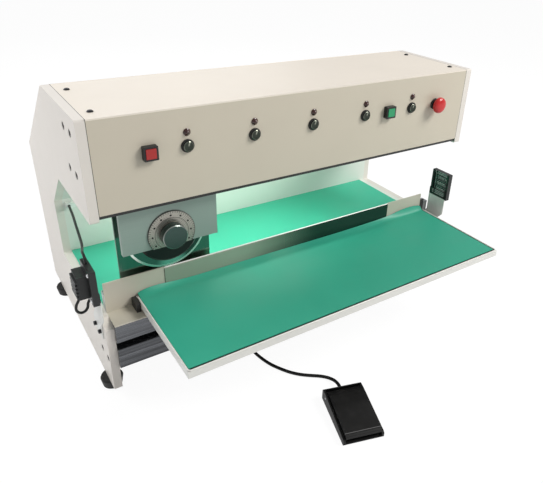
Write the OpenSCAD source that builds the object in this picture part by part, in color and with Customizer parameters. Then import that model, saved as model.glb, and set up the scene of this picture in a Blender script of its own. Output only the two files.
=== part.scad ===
// Bench machine that parts scored circuit boards between a rolling round blade and a fixed
// straight blade. The origin is on the bench, midway between the side plates and near the
// middle of their depth. X runs along the blades, Y to the back and Z up.

/* [Frame] */
// Clear width between the side plates
inner_w = 648; // [600:1:700]
// Thickness of each side plate
plate_t = 12; // [10:0.5:15]
// Height of a side plate
plate_h = 422; // [410:1:440]
// Depth of a side plate
plate_d = 395; // [385:1:420]
// Height of the rubber feet
foot_h = 18; // [14:1:24]
// Diameter of a rubber foot
foot_d = 34; // [28:1:40]

/* [Throat] */
// Underside of the upper arms, above the plates' lower edge
arm_bottom = 287; // [284:1:290]
// Top of the lower arms, above the plates' lower edge
table_z = 120; // [118:1:122]
// Depth of the throat at table height
throat_d = 245; // [235:1:250]

/* [Blades] */
// Diameter of the rolling blade
blade_d = 125; // [120:0.5:126]
// Thickness of both blades
blade_t = 3; // [2:0.5:4]
// Length of the straight blade
straight_blade_l = 446; // [430:1:450]
// Height of the straight blade's edge above the plates' lower edge
edge_z = 170; // [165:1:172]
// Gap between the two edges
edge_gap = 0.5; // [0.3:0.1:1]
// How far the carriage runs
travel = 425; // [400:1:428]

/* [Controls] */
// Distance from one position button to the next
button_pitch = 100; // [90:1:100]
// Height of the row of buttons above the plates' lower edge
button_z = 370; // [365:1:375]
// Height of the row of lamps above the plates' lower edge
lamp_z = 388.5; // [386:0.5:392]
// Travel of a push button
button_stroke = 2; // [1:0.5:2.5]

/* [Front tray] */
// Width of the tray
tray_w = 588; // [560:1:600]
// Depth of the tray
tray_d = 191; // [180:1:200]
// Top of the tray's mat above the plates' lower edge
tray_z = 137; // [135:1:139]

/* [Foot switch] */
// Width of the foot switch
pedal_w = 63; // [58:1:70]
// Length of the foot switch
pedal_l = 95; // [90:1:105]

/* [Hidden] */
$fn = 48;
half_w = inner_w / 2;
sheet = 2;
arc_steps = 4;
run_gap = 0.05;
// Front face of the upper arms
front_y = -190;

// Side plate outline, as depth and height
slope_top = [179, plate_h];
slope_low = [plate_d, 271.5];
throat_top = [166, arm_bottom];
throat_back = [throat_d, 218];
lower_front = 12;

// Cross beams
beam_front = 24;
beam_back = 72;
beam_bottom = 333;
beam_top = 408;
sill_front = 6;
sill_back = 64;
sill_bottom = 41;
sill_top = table_z - sheet;

// Carriage
carriage_x = -225;
carriage_w = 142;
head_y = 20;
head_t = 8;
head_bottom = 218;
bridge_z = 308;
bridge_t = 12;
bridge_back = 100;
dial_z = 237;
dial_r = 35;
knob_r = 18.4;
knob_face = 4;
axle_z = edge_z + edge_gap + blade_d / 2;
blade_y = 41;
shield_y = 52;
rail_rows = [36, 64];
rail_h = 8;
block_clear = 3;

// Drive
belt_y = 104;
belt_w = 10;
belt_t = 1.6;
pulley_r = 12;
pulley_x = 290;
pulley_z = 350;

// Controls along the panel
panel_low = 296;
button_x = [for (i = [0:4]) -201 + i * button_pitch];
red_x = -252.5;
green_x = 148;
stop_x = 254;
square = 19;

// Tray
tray_x = -280;
tray_back = 41;
lip_h = 10;

// Safety sensors
sensor_d = 44;
sensor_front = 8;
sensor_bottom = 160;
sensor_top = 214;
sensor_t = 9;

// Foot switch, placed by the middle of its back edge
pedal_turn = -17;
pedal_at = [-38, -352, 0];
cable_r = 2.7;
coil_r = 29;
coil_at = [-160, 283, 0];
inlet_x = 250;
socket_x = -199;
socket_z = 52;

// Free cable: from its plug to the coil, then from the coil under the machine to the foot switch
drop_route = [[-199, 228, 70], [-199, 243, 70], [-199, 252.5, 67.5], [-199, 259.5, 60.5], [-199, 262, 51],
    [-199, 262, 42], [-199, 262, 34], [-199, 264.5, 24.5], [-199, 271.5, 17.5], [-198.8, 283, 14.6]];
floor_route = [[-121.2, 283, 3], [-121.2, 273, 3], [-121, 262, 3], [-121.2, 245, 3], [-121.5, 225, 3],
    [-122, 205, 3], [-122, 180, 3], [-122, 155, 3], [-122, 130, 3], [-122, 105, 3], [-121.5, 80, 3],
    [-121, 55, 3], [-120, 30, 3], [-119, 5, 3], [-118, -20, 3], [-117, -45, 3], [-115, -70, 3], [-113, -95, 3],
    [-111, -120, 3], [-109, -145, 3], [-108, -170, 3], [-107.5, -197, 3], [-104.5, -219, 3], [-99, -239, 3],
    [-91, -256, 3], [-82, -271, 3], [-71, -284, 3], [-58, -295, 3], [-46, -304, 3], [-37, -314, 3.5],
    [-33, -326, 5.5], [-34, -338, 8], [-37, -349, 8.5], [-38.6, -354, 8.5]];
// Lead held from the clip on the throat's back wall to the left sensor
lead_route = [[-316, 246, 208], [-316, 240, 208], [-317, 230, 209], [-319, 210, 211], [-322, 182, 213],
    [-326, 150, 214], [-330, 115, 214], [-333, 92, 215], [-336, 76, 217], [-339, 63, 220],
    [-341, 54, 223], [-342, 47, 225], [-342.3, 41, 224.5], [-342.3, 37.2, 221.5], [-342.3, 36, 217],
    [-342.3, 36, 212]];
// Short loop of lead under the left sensor's connector
loop_route = [[-356, 38, 170], [-356, 38, 165], [-359, 38, 158], [-363, 39, 150], [-364, 40, 142],
    [-361.5, 41, 136.5], [-357, 41, 134], [-352, 41, 135.5], [-348.5, 41, 140], [-347, 41, 147],
    [-344.2, 41, 152], [-343.5, 41, 157], [-343.5, 41, 162]];

// ---------- helpers ----------

// Places on the machine are measured from under the arms' front face, at the plates' lower edge
module at_frame() {
    translate([0, front_y, foot_h]) children();
}

// Extrudes a depth-and-height outline along X
module across(x0, x1) {
    translate([x0, 0, 0]) rotate([90, 0, 90]) linear_extrude(x1 - x0) children();
}

// Extrudes a width-and-height outline along Y
module deep(y0, y1) {
    translate([0, y1, 0]) rotate([90, 0, 0]) linear_extrude(y1 - y0) children();
}

// Box from corner to corner
module block(low, high) {
    translate(low) cube(high - low);
}

// Cylinders along each axis from one place to another
module rod_x(x0, x1, y, z, r) {
    translate([x0, y, z]) rotate([0, 90, 0]) cylinder(h = x1 - x0, r = r);
}

module rod_y(y0, y1, x, z, r) {
    translate([x, y1, z]) rotate([90, 0, 0]) cylinder(h = y1 - y0, r = r);
}

module rod_z(z0, z1, x, y, r) {
    translate([x, y, z0]) cylinder(h = z1 - z0, r = r);
}

function unit(v) = v / norm(v);

// Corner arc of radius r at point b between points a and c
function corner_arc(a, b, c, r) =
    r == 0 ? [b] :
    let (u = unit(a - b), v = unit(c - b), half = acos(u * v) / 2,
         centre = b + unit(u + v) * r / sin(half), reach = r / tan(half),
         start = b + u * reach - centre, end = b + v * reach - centre,
         sweep = acos(min(1, unit(start) * unit(end))),
         side = cross([start[0], start[1], 0], [end[0], end[1], 0])[2] > 0 ? 1 : -1)
    [for (i = [0:arc_steps]) let (t = side * sweep * i / arc_steps)
        centre + [start[0] * cos(t) - start[1] * sin(t), start[0] * sin(t) + start[1] * cos(t)]];

// Closed outline whose corners, given as [place, place, radius], are rounded
function rounded(p) = let (n = len(p)) [for (i = [0:n - 1])
    each corner_arc([p[(i + n - 1) % n][0], p[(i + n - 1) % n][1]], [p[i][0], p[i][1]],
        [p[(i + 1) % n][0], p[(i + 1) % n][1]], p[i][2])];

// Line of points moved sideways by d, with mitred corners
function moved(path, d) = let (n = len(path)) [for (i = [0:n - 1])
    let (before = i == 0 ? unit(path[1] - path[0]) : unit(path[i] - path[i - 1]),
         after = i == n - 1 ? before : unit(path[i + 1] - path[i]),
         m = [-before[1] - after[1], before[0] + after[0]] / 2)
    path[i] + m * d / (m * m)];

// Sheet bent along a line of points
function folded(path, t) = let (other = moved(path, t), n = len(path))
    concat(path, [for (i = [n - 1:-1:0]) other[i]]);

function rect_points(x0, y0, x1, y1, r) = rounded([[x0, y0, r], [x1, y0, r], [x1, y1, r], [x0, y1, r]]);

// Tube swept along a route of points
module sweep_tube(route, r, sides) {
    n = len(route);
    rings = [for (i = [0:n - 1])
        let (d = unit(route[min(i + 1, n - 1)] - route[max(i - 1, 0)]),
             ref = abs(d[2]) > 0.9 ? [0, 1, 0] : [0, 0, 1],
             u = unit(cross(ref, d)), v = cross(d, u))
        for (k = [0:sides - 1]) route[i] + r * (u * cos(360 * k / sides) + v * sin(360 * k / sides))];
    // A ring's frame swaps where the route turns steep, so each ring starts at its nearest corner
    turn = [for (i = 0, s = 0; i < n; i = i + 1, s = i < n ? nearest(rings, i, sides, s) : 0) s];
    faces = concat([[for (k = [0:sides - 1]) sides - 1 - k]],
        [for (i = [0:n - 2]) for (k = [0:sides - 1])
            let (a = i * sides + (k + turn[i]) % sides, b = i * sides + (k + 1 + turn[i]) % sides,
                 c = (i + 1) * sides + (k + 1 + turn[i + 1]) % sides,
                 e = (i + 1) * sides + (k + turn[i + 1]) % sides)
            each [[a, b, c], [a, c, e]]],
        [[for (k = [0:sides - 1]) (n - 1) * sides + k]]);
    polyhedron(rings, faces);
}

function nearest(rings, i, sides, s) =
    let (p = rings[(i - 1) * sides + s],
         gaps = [for (k = [0:sides - 1]) norm(rings[i * sides + k] - p)])
    search(min(gaps), gaps)[0];

// Socket-head screw along Y or X is this one turned: head up, shank down
module cap_screw(d, l) {
    difference() {
        union() {
            cylinder(h = d, r = d * 0.8);
            translate([0, 0, -l]) cylinder(h = l, r = d / 2 - run_gap);
        }
        translate([0, 0, d * 0.4]) cylinder(h = d, r = d * 0.48, $fn = 6);
    }
}

// Low button-head screw
module button_screw(d, l) {
    difference() {
        union() {
            rotate_extrude() polygon([[0, 0], [d, 0], [d, d * 0.2], [d * 0.7, d * 0.5], [0, d * 0.55]]);
            translate([0, 0, -l]) cylinder(h = l + 0.01, r = d / 2 - run_gap);
        }
        translate([0, 0, d * 0.2]) cylinder(h = d, r = d * 0.32, $fn = 6);
    }
}

// ---------- frame ----------

upper_screws = [[32, 343], [64, 343], [32, 398], [64, 398]];
lower_screws = [[22, 55], [50, 55]];
bracket_screws = [[34, 98], [57, 98]];
plate_outline = rounded([[0, plate_h, 3], [slope_top[0], slope_top[1], 4], [slope_low[0], slope_low[1], 4],
    [plate_d, 0, 4], [lower_front, 0, 3], [lower_front, table_z - 9, 2], [lower_front + 22, table_z, 4],
    [throat_back[0], table_z, 2],
    [throat_back[0], throat_back[1], 2], [throat_top[0], throat_top[1], 2], [0, arm_bottom, 3]]);

// Side plate between x0 and x1, its screws sunk in from the face at x = outer
module side_plate(x0, x1, outer, inward) {
    difference() {
        across(x0, x1) polygon(plate_outline);
        for (p = concat(upper_screws, lower_screws)) {
            rod_x(x0 - 1, x1 + 1, p[0], p[1], 3.3);
            rod_x(min(outer - 6.5 * inward, outer + 6.5 * inward), max(outer - 6.5 * inward,
                outer + 6.5 * inward), p[0], p[1], 5.5);
        }
        for (p = bracket_screws) rod_x(x0 - 1, x1 + 1, p[0], p[1], 2.2);
    }
}

module left_side_plate() {
    color([0.88, 0.86, 0.82]) at_frame() side_plate(-half_w - plate_t, -half_w, -half_w - plate_t, 1);
}

module right_side_plate() {
    color([0.88, 0.86, 0.82]) at_frame() side_plate(half_w, half_w + plate_t, half_w + plate_t, -1);
}

// Tapped holes in both ends of a beam
module end_holes(places, depth, r) {
    for (p = places) {
        rod_x(-half_w - 1, -half_w + depth, p[0], p[1], r);
        rod_x(half_w - depth, half_w + 1, p[0], p[1], r);
    }
}

// Box section with a web and bosses in its corners
module upper_beam() {
    wall = 14;
    mid = (beam_bottom + beam_top) / 2;
    color([0.62, 0.63, 0.65]) at_frame() difference() {
        across(-half_w, half_w) difference() {
            polygon(rect_points(beam_front, beam_bottom, beam_back, beam_top, 2));
            polygon(rect_points(beam_front + wall, beam_bottom + wall, beam_back - wall, mid - 3, 3));
            polygon(rect_points(beam_front + wall, mid + 3, beam_back - wall, beam_top - wall, 3));
        }
        end_holes(upper_screws, 22, 3);
    }
}

// Extruded sill with a tee slot in its face
module lower_beam() {
    slot_z = 82;
    color([0.30, 0.31, 0.33]) at_frame() difference() {
        across(-half_w, half_w) difference() {
            polygon(rounded([[sill_front, sill_bottom, 2], [sill_back, sill_bottom, 2],
                [sill_back, sill_top, 1], [sill_front, sill_top, 1.5], [sill_front, slot_z + 6, 1], [sill_front + 5, slot_z + 6, 0],
                [sill_front + 5, slot_z + 10, 0], [sill_front + 12, slot_z + 10, 0],
                [sill_front + 12, slot_z - 10, 0], [sill_front + 5, slot_z - 10, 0],
                [sill_front + 5, slot_z - 6, 0], [sill_front, slot_z - 6, 1]]));
            polygon(rect_points(sill_front + 22, 66, sill_back - 8, 84, 3));
        }
        end_holes(lower_screws, 22, 3);
        end_holes(bracket_screws, 14, 2);
        for (x = tray_arm_x) rod_z(sill_top - 12, sill_top + 1, x, 26, 2.5);
    }
}

// ---------- covers ----------

module top_cover() {
    color([0.98, 0.94, 0.88]) at_frame() difference() {
        across(-half_w, half_w)
            polygon(folded([[0, plate_h], [slope_top[0] - 1.5, plate_h]], -sheet));
        for (x = cover_screw_x) rod_z(plate_h - 4, plate_h + 1, x, 28, 2.1);
        for (x = cover_screw_x) rod_z(plate_h - 4, plate_h + 1, x, 140, 2.1);
    }
}

cover_screw_x = [-half_w + 14, half_w - 14];

module front_panel() {
    color([0.78, 0.74, 0.67]) at_frame() difference() {
        block([-half_w, 0, panel_low], [half_w, sheet, plate_h - sheet]);
        for (x = button_x) {
            rod_y(-1, 3, x, button_z, 8);
            rod_y(-1, 3, x, lamp_z, 4);
        }
        rod_y(-1, 3, red_x, button_z, 8);
        rod_y(-1, 3, green_x, button_z, 8);
        rod_y(-1, 3, stop_x, button_z, 8);
    }
}

// Dark angle that stiffens the panel's lower edge
module panel_rail() {
    color([0.16, 0.16, 0.17]) at_frame() across(-half_w, half_w)
        polygon([[sheet, 291], [14, 291], [14, 293], [sheet + 2, 293], [sheet + 2, 312], [sheet, 312]]);
}

// Sheet that lines the throat and closes the cabinet behind it
module throat_liner() {
    color([0.92, 0.94, 0.90]) at_frame() difference() {
        across(-half_w, half_w)
            polygon(folded([[66, arm_bottom], throat_top, throat_back, [throat_d, 6]], sheet));
        rod_y(throat_d - 1, throat_d + 3, lead_route[0][0], lead_route[0][2], 2.3);
    }
}

module rear_cover() {
    color([0.90, 0.88, 0.84]) at_frame() difference() {
        across(-half_w, half_w)
            polygon(folded([slope_top, slope_low, [plate_d, 6]], -sheet));
        for (x = [-240:12:-132]) for (side = [0, 1])
            let (vx = side == 0 ? x : -x)
            block([vx - 2, plate_d - 4, 170], [vx + 2, plate_d + 1, 215]);
        block([inlet_x - 13.6, plate_d - 4, 56], [inlet_x + 13.6, plate_d + 1, 103]);
        rod_y(plate_d - 4, plate_d + 1, socket_x, socket_z, 8);
    }
}

module base_plate() {
    color([0.70, 0.71, 0.72]) at_frame()
        across(-half_w, half_w) polygon(folded([[throat_d + 16, 22], [throat_d + 16, 6], [plate_d - 16, 6],
            [plate_d - 16, 22]], -sheet));
}

// Folded table behind the blades
module rear_table() {
    lip = 16;
    color([0.86, 0.86, 0.84]) at_frame() {
        across(-half_w, half_w) polygon(folded([[46 + 14, table_z], [throat_d, table_z],
            [throat_d, table_z - lip]], -sheet));
        for (x = [-half_w, half_w - sheet])
            block([x, 66, table_z - lip], [x + sheet, throat_d - sheet, table_z - sheet]);
    }
}

module rear_mat() {
    color([0.20, 0.72, 0.58]) at_frame()
        block([-half_w + 1, 61, table_z], [311, throat_d - 1, table_z + 2]);
}

// ---------- blades ----------

holder_front = blade_y + blade_t;
straight_x = -233;
straight_low = 125;
blade_bolts = [for (i = [0:5]) straight_x + 28 + i * 78];

module blade_holder() {
    color([0.55, 0.56, 0.58]) at_frame() difference() {
        block([-half_w, holder_front, sill_top], [half_w, holder_front + 14, 150]);
        for (x = blade_bolts) rod_y(holder_front - 1, holder_front + 15, x, 134, 2.5);
    }
}

// Ground bar with a vee edge
module straight_blade() {
    y0 = blade_y;
    y1 = blade_y + blade_t;
    color([0.72, 0.72, 0.70]) at_frame() difference() {
        across(straight_x, straight_x + straight_blade_l) polygon([[y0, straight_low], [y1, straight_low],
            [y1, edge_z - 2.4], [(y0 + y1) / 2 + 0.1, edge_z], [(y0 + y1) / 2 - 0.1, edge_z],
            [y0, edge_z - 2.4]]);
        for (x = blade_bolts) rod_y(y0 - 1, y1 + 1, x, 134, 2.6);
    }
}

// Bent guard beside the straight blade: an upright wall on a flange
module blade_guard(x0, x1) {
    across(x0, x1) polygon(folded([[sill_front - 1, sill_top], [holder_front, sill_top],
        [holder_front, edge_z]], sheet));
}

module blade_guards() {
    color([0.80, 0.76, 0.68]) at_frame() {
        blade_guard(-half_w, straight_x - 0.5);
        blade_guard(straight_x + straight_blade_l + 0.5, 302);
    }
}

// Rolling blade, ground to a thin edge
module round_blade() {
    r = blade_d / 2;
    color([0.74, 0.75, 0.74]) at_frame() translate([carriage_x, blade_y, axle_z]) rotate([-90, 0, 0])
        rotate_extrude($fn = 120) polygon([[12.5, 0], [r - 3.2, 0], [r, blade_t / 2 - 0.1],
            [r, blade_t / 2 + 0.1], [r - 3.2, blade_t], [12.5, blade_t]]);
}

flange_r = 46.5;
spindle_r = 9;

// Discs that clamp the blade, with the spindle that they turn on
module blade_flanges() {
    color([0.06, 0.06, 0.06]) at_frame() translate([carriage_x, 0, axle_z]) rotate([-90, 0, 0]) {
        rotate_extrude($fn = 96) polygon([[0, 29.5], [flange_r - 3, 29.5], [flange_r, 32],
            [flange_r, blade_y], [12.5, blade_y], [12.5, blade_y + blade_t], [30, blade_y + blade_t], [30, shield_y - 2],
            [0, shield_y - 2]]);
        translate([0, 0, head_y + 3]) cylinder(h = 29.5 - head_y - 3, r = spindle_r);
    }
}

// ---------- carriage ----------

head_x0 = carriage_x - carriage_w / 2;
head_x1 = carriage_x + carriage_w / 2;
sleeve_r = 16;

// Plate on the carriage's face, bored for the eccentric sleeve
module carriage_plate() {
    color([0.55, 0.60, 0.60]) at_frame() difference() {
        block([head_x0, head_y, head_bottom], [head_x1, head_y + head_t, bridge_z + bridge_t]);
        rod_y(head_y - 1, head_y + head_t + 1, carriage_x, dial_z, sleeve_r);
        for (x = head_screws) rod_y(head_y - 1, head_y + head_t + 1, x, bridge_z + 6, 2.1);
    }
}

head_screws = [for (i = [-1:1]) carriage_x + i * 52];
belt_slot_z = pulley_z - pulley_r - belt_t;

module carriage_bridge() {
    y0 = head_y + head_t;
    color([0.62, 0.63, 0.65]) at_frame() difference() {
        union() {
            block([head_x0, y0, bridge_z], [head_x1, bridge_back, bridge_z + bridge_t]);
            block([carriage_x - 24, bridge_back - 0.01, bridge_z],
                [carriage_x + 24, bridge_back + 18, belt_slot_z + 10]);
        }
        block([carriage_x - 30, belt_y - 0.4, belt_slot_z - 0.4],
            [carriage_x + 30, bridge_back + 30, belt_slot_z + belt_t + 0.4]);
        for (x = head_screws) rod_y(y0 - 1, y0 + 12, x, bridge_z + 6, 2);
    }
}

// Two guided blocks on each rail
module rail_blocks() {
    z0 = bridge_z + bridge_t;
    color([0.70, 0.71, 0.72]) at_frame() for (y = rail_rows) for (x = [carriage_x - 42, carriage_x + 42])
        across(x - 22, x + 22) polygon([[y - 11, z0], [y + 11, z0], [y + 11, z0 + 10], [y + 6.05, z0 + 10],
            [y + 6.05, z0 + 4], [y - 6.05, z0 + 4], [y - 6.05, z0 + 10], [y - 11, z0 + 10]]);
}

module linear_rails() {
    color([0.75, 0.76, 0.77]) at_frame() for (y = rail_rows)
        across(-half_w + 6, half_w - 6) polygon([[y - 6, beam_bottom - rail_h], [y + 6, beam_bottom - rail_h],
            [y + 6, beam_bottom], [y - 6, beam_bottom]]);
}

// Polished plate behind the rolling blade
module blade_shield() {
    color([0.42, 0.46, 0.45]) at_frame() deep(shield_y, shield_y + 3)
        polygon(rect_points(head_x0, 152, head_x1, bridge_z, 2));
}

// Graduated ring cut off at the plate's lower edge
module dial_ring() {
    cut = head_bottom - dial_z;
    color([0.66, 0.64, 0.60]) at_frame() translate([carriage_x, 0, dial_z]) difference() {
        rod_y(head_y - 2, head_y, 0, 0, dial_r);
        rod_y(head_y - 3, head_y + 1, 0, 0, sleeve_r + 1);
        block([-40, head_y - 4, -60], [40, head_y + 1, cut]);
    }
}

// Knob with the eccentric sleeve that carries the blade's spindle
module dial_knob() {
    color([0.08, 0.09, 0.09]) at_frame() difference() {
        union() {
            translate([carriage_x, 0, dial_z]) rotate([-90, 0, 0]) rotate_extrude($fn = 72)
                polygon([[0, knob_face], [knob_r - 1.2, knob_face], [knob_r, knob_face + 1.2],
                    [knob_r, head_y - 4], [knob_r - 1, head_y - 3], [0, head_y - 3]]);
            rod_y(head_y - 3.01, head_y + head_t, carriage_x, dial_z, sleeve_r - run_gap);
        }
        rod_y(head_y + 2, head_y + head_t + 1, carriage_x, axle_z, spindle_r + run_gap);
    }
}

// ---------- drive ----------

module drive_belt() {
    r = pulley_r + belt_t;
    color([0.10, 0.10, 0.10]) at_frame() translate([0, belt_y, pulley_z]) rotate([-90, 0, 0]) difference() {
        linear_extrude(belt_w) difference() {
            belt_loop(r);
            belt_loop(pulley_r + 0.3);
        }
    }
}

module belt_loop(r) {
    union() {
        translate([-pulley_x, 0]) circle(r = r);
        translate([pulley_x, 0]) circle(r = r);
        translate([-pulley_x, -r]) square([2 * pulley_x, 2 * r]);
    }
}

// Flanged pulley, bored or with a shaft
module pulley(x) {
    translate([x, 0, pulley_z]) rotate([-90, 0, 0]) rotate_extrude()
        polygon([[3.05, belt_y - 2], [pulley_r + 2.5, belt_y - 2], [pulley_r + 2.5, belt_y - 0.6],
            [pulley_r, belt_y - 0.6], [pulley_r, belt_y + belt_w + 0.6], [pulley_r + 2.5, belt_y + belt_w + 0.6],
            [pulley_r + 2.5, belt_y + belt_w + 2], [3.05, belt_y + belt_w + 2]]);
}

module drive_pulley() {
    color([0.72, 0.73, 0.74]) at_frame() {
        pulley(pulley_x);
        rod_y(belt_y - 3, 138, pulley_x, pulley_z, 3.06);
    }
}

module idler_pulley() {
    color([0.72, 0.73, 0.74]) at_frame() pulley(-pulley_x);
}

module pulley_brackets() {
    y1 = 122;
    color([0.45, 0.46, 0.48]) at_frame() for (x = [-pulley_x, pulley_x]) {
        difference() {
            union() {
                across(x - 30, x + 30) polygon(folded([[beam_back, 384], [y1 + 4, 384], [y1 + 4, 322]], -5));
                block([x - 30, beam_back, 352], [x + 30, beam_back + 4, 379.01]);
            }
            rod_y(y1 - 6, y1 + 6, x, pulley_z, x < 0 ? 3 - run_gap : 6);
        }
        if (x < 0) rod_y(belt_y - 4, y1 + 4, x, pulley_z, 3);
    }
}

module drive_motor() {
    y0 = 126;
    color([0.18, 0.18, 0.19]) at_frame() difference() {
        union() {
            deep(y0, y0 + 6)
                polygon(rect_points(pulley_x - 21, pulley_z - 21, pulley_x + 21, pulley_z + 21, 4));
            rod_y(y0 + 5.99, y0 + 44, pulley_x, pulley_z, 20);
            rod_y(y0 + 43.99, y0 + 52, pulley_x, pulley_z, 8);
        }
        rod_y(y0 - 1, y0 + 14, pulley_x, pulley_z, 3.11);
    }
}

module control_board() {
    y0 = throat_d + sheet;
    color([0.10, 0.38, 0.22]) at_frame() {
        block([-200, y0 + 10, 40], [-20, y0 + 11.6, 180]);
        for (x = [-192, -28]) for (z = [48, 172]) rod_y(y0, y0 + 10, x, z, 3);
        block([-180, y0 + 11.6, 120], [-120, y0 + 24, 160]);
        block([-100, y0 + 11.6, 60], [-40, y0 + 30, 84]);
        rod_y(y0 + 11.6, y0 + 36, -160, 80, 9);
        rod_y(y0 + 11.6, y0 + 36, -134, 80, 9);
    }
}

module power_supply() {
    color([0.66, 0.67, 0.68]) at_frame() difference() {
        block([40, 268, 6], [200, 358, 48]);
        for (x = [60:12:180]) block([x - 2, 300, 47], [x + 2, 340, 49]);
    }
}

// Flanged mains inlet with its pins
module power_inlet() {
    color([0.08, 0.08, 0.08]) at_frame() {
        difference() {
            union() {
                block([inlet_x - 13, plate_d - 24, 57], [inlet_x + 13, plate_d, 102]);
                block([inlet_x - 17, plate_d, 50], [inlet_x + 17, plate_d + 3, 108]);
            }
            block([inlet_x - 11, plate_d - 14, 60], [inlet_x + 11, plate_d + 4, 76]);
        }
        for (x = [-7, 0, 7]) block([inlet_x + x - 1, plate_d - 16, 66], [inlet_x + x + 1, plate_d - 1, 70]);
        block([inlet_x - 8, plate_d + 2.99, 84], [inlet_x + 8, plate_d + 5, 102]);
    }
}

// Round socket for the foot switch's plug
module pedal_socket() {
    color([0.75, 0.76, 0.77]) at_frame() translate([socket_x, 0, socket_z]) rotate([-90, 0, 0])
        rotate_extrude() polygon([[6.1, plate_d + 6], [6.1, plate_d - 8], [0, plate_d - 8], [0, plate_d - 12],
            [7.95, plate_d - 12], [7.95, plate_d], [11, plate_d], [11, plate_d + 2], [8, plate_d + 2],
            [8, plate_d + 6]]);
}

// Rubber foot under each end of each side plate
module feet() {
    color([0.05, 0.05, 0.05]) for (x = [-half_w - plate_t / 2, half_w + plate_t / 2]) for (y = [48, 336])
        translate([x, front_y + y, 0]) rotate_extrude() polygon([[0, 0], [foot_d / 2 - 4, 0],
            [foot_d / 2 - 2.5, 1.5], [foot_d / 2, foot_h - 3], [foot_d / 2 - 1.5, foot_h], [0, foot_h]]);
}

module machine_screws() {
    color([0.10, 0.10, 0.10]) at_frame() {
        for (p = concat(upper_screws, lower_screws)) {
            translate([-half_w - plate_t + 6.5, p[0], p[1]]) rotate([0, -90, 0]) cap_screw(6, 24);
            translate([half_w + plate_t - 6.5, p[0], p[1]]) rotate([0, 90, 0]) cap_screw(6, 24);
        }
        for (p = bracket_screws) {
            translate([-half_w - plate_t - 1.5, p[0], p[1]]) rotate([0, -90, 0]) cap_screw(4, 24);
            translate([half_w + plate_t + 1.5, p[0], p[1]]) rotate([0, 90, 0]) cap_screw(4, 24);
        }
        for (x = cover_screw_x) for (y = [28, 140]) translate([x, y, plate_h]) button_screw(4, 8);
        for (x = blade_bolts) translate([x, holder_front + 14, 134]) rotate([-90, 0, 0]) button_screw(5, 16);
    }
}

// Screws that hold the carriage's face plate to its bridge
module carriage_screws() {
    color([0.10, 0.10, 0.10]) at_frame() for (x = head_screws)
        translate([x, head_y, bridge_z + 6]) rotate([90, 0, 0]) button_screw(4, 16);
}

// ---------- front tray ----------

tray_arm_x = [-190, 0, 190];

// Shallow pan, folded down on all four sides
module front_tray() {
    x1 = tray_x + tray_w;
    y0 = tray_back - tray_d;
    z1 = tray_z - sheet;
    z0 = tray_z - sheet - lip_h;
    color([0.90, 0.90, 0.87]) at_frame() difference() {
        block([tray_x, y0, z0], [x1, tray_back, z1]);
        block([tray_x + 1.5, y0 + 1.5, z0 - 1], [x1 - 1.5, tray_back - 1.5, z1 - 1.5]);
    }
}

// Where the mat's back edge stands, as [x, start of the curl, height of the edge]
mat_stations = [[tray_x, 20, 138.5], [-270, 22, 142], [-258, 25, 143.7], [-242, 28, 143.7], [-228, 28, 142.5],
    [-210, 26, 141], [-177, 20, 140], [-106, 15, 140], [12, 15, 139.5], [100, 20, 139.5], [180, 26, 141],
    [217, 29, 143], [247, 30, 147.7], [274, 30, 149], [297, 30, 146], [tray_x + tray_w, 30, 141]];

// One ring of the mat, top face first and then the bottom, at a station
function mat_ring(s) =
    let (y0 = tray_back - tray_d, y1 = tray_back - 0.6, z = tray_z, rise = s[2] - tray_z, run = y1 - s[1])
    [for (p = [[y0, z], [s[1], z], [s[1] + run * 0.35, z + rise * 0.12], [s[1] + run * 0.7, z + rise * 0.45],
        [y1, z + rise], [y1, z + rise - sheet], [s[1] + run * 0.7, z + rise * 0.45 - sheet],
        [s[1] + run * 0.35, z + rise * 0.12 - sheet], [s[1], z - sheet], [y0, z - sheet]])
        [s[0], p[0], p[1]]];

// Mat whose back edge curls up against the blade
module front_mat() {
    n = len(mat_stations);
    points = [for (s = mat_stations) each mat_ring(s)];
    faces = concat([[for (k = [0:9]) k]],
        [for (i = [0:n - 2]) for (k = [0:9]) let (a = i * 10 + k, b = i * 10 + (k + 1) % 10)
            each [[a, a + 10, b + 10], [a, b + 10, b]]],
        [[for (k = [9:-1:0]) (n - 1) * 10 + k]]);
    color([0.22, 0.62, 0.50]) at_frame() polyhedron(points, faces);
}

// Gussets that carry the tray on the sill, and the lugs at its back corners
module tray_brackets() {
    z1 = tray_z - sheet - 1.5;
    y1 = sill_front;
    color([0.07, 0.07, 0.07]) at_frame() {
        for (x = tray_arm_x) {
            across(x - 2, x + 2) polygon([[y1 - 2, 96], [y1 - 2, z1 - 2], [-118, z1 - 2], [-118, z1 - 10]]);
            block([x - 12, -120, z1 - 2], [x + 12, 39, z1]);
            block([x - 12, y1 - 2.01, 92], [x + 12, y1, z1 - 1.99]);
            block([x - 2, y1 + 2, sill_top], [x + 2, 38, z1 - 1.99]);
        }
        block([tray_x - 7, 20, table_z], [tray_x, 41, z1 + 1.5]);
        block([302.5, 41.2, sill_top], [311, 43.8, 157]);
    }
}

// ---------- panel controls ----------

module indicator_lamps() {
    color([0.30, 0.05, 0.04]) at_frame() for (x = button_x) translate([x, 0, lamp_z]) rotate([90, 0, 0])
        rotate_extrude($fn = 32) polygon([[0, -14], [3.9, -14], [3.9, 0], [5, 0], [5, 1], [4, 1.8], [2.6, 3.6], [1.2, 4.4],
            [0, 4.6]]);
}

// Sleeve of a square push button, open in front
module square_collar(x) {
    s = square / 2;
    difference() {
        union() {
            translate([x, 0, button_z]) deep(-8, 0) polygon(rect_points(-s, -s, s, s, 1));
            rod_y(-0.01, 20, x, button_z, 7.95);
        }
        translate([x, 0, button_z]) deep(-9, -2) polygon(rect_points(-s + 2.6, -s + 2.6, s - 2.6, s - 2.6, 0.6));
    }
}

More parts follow.
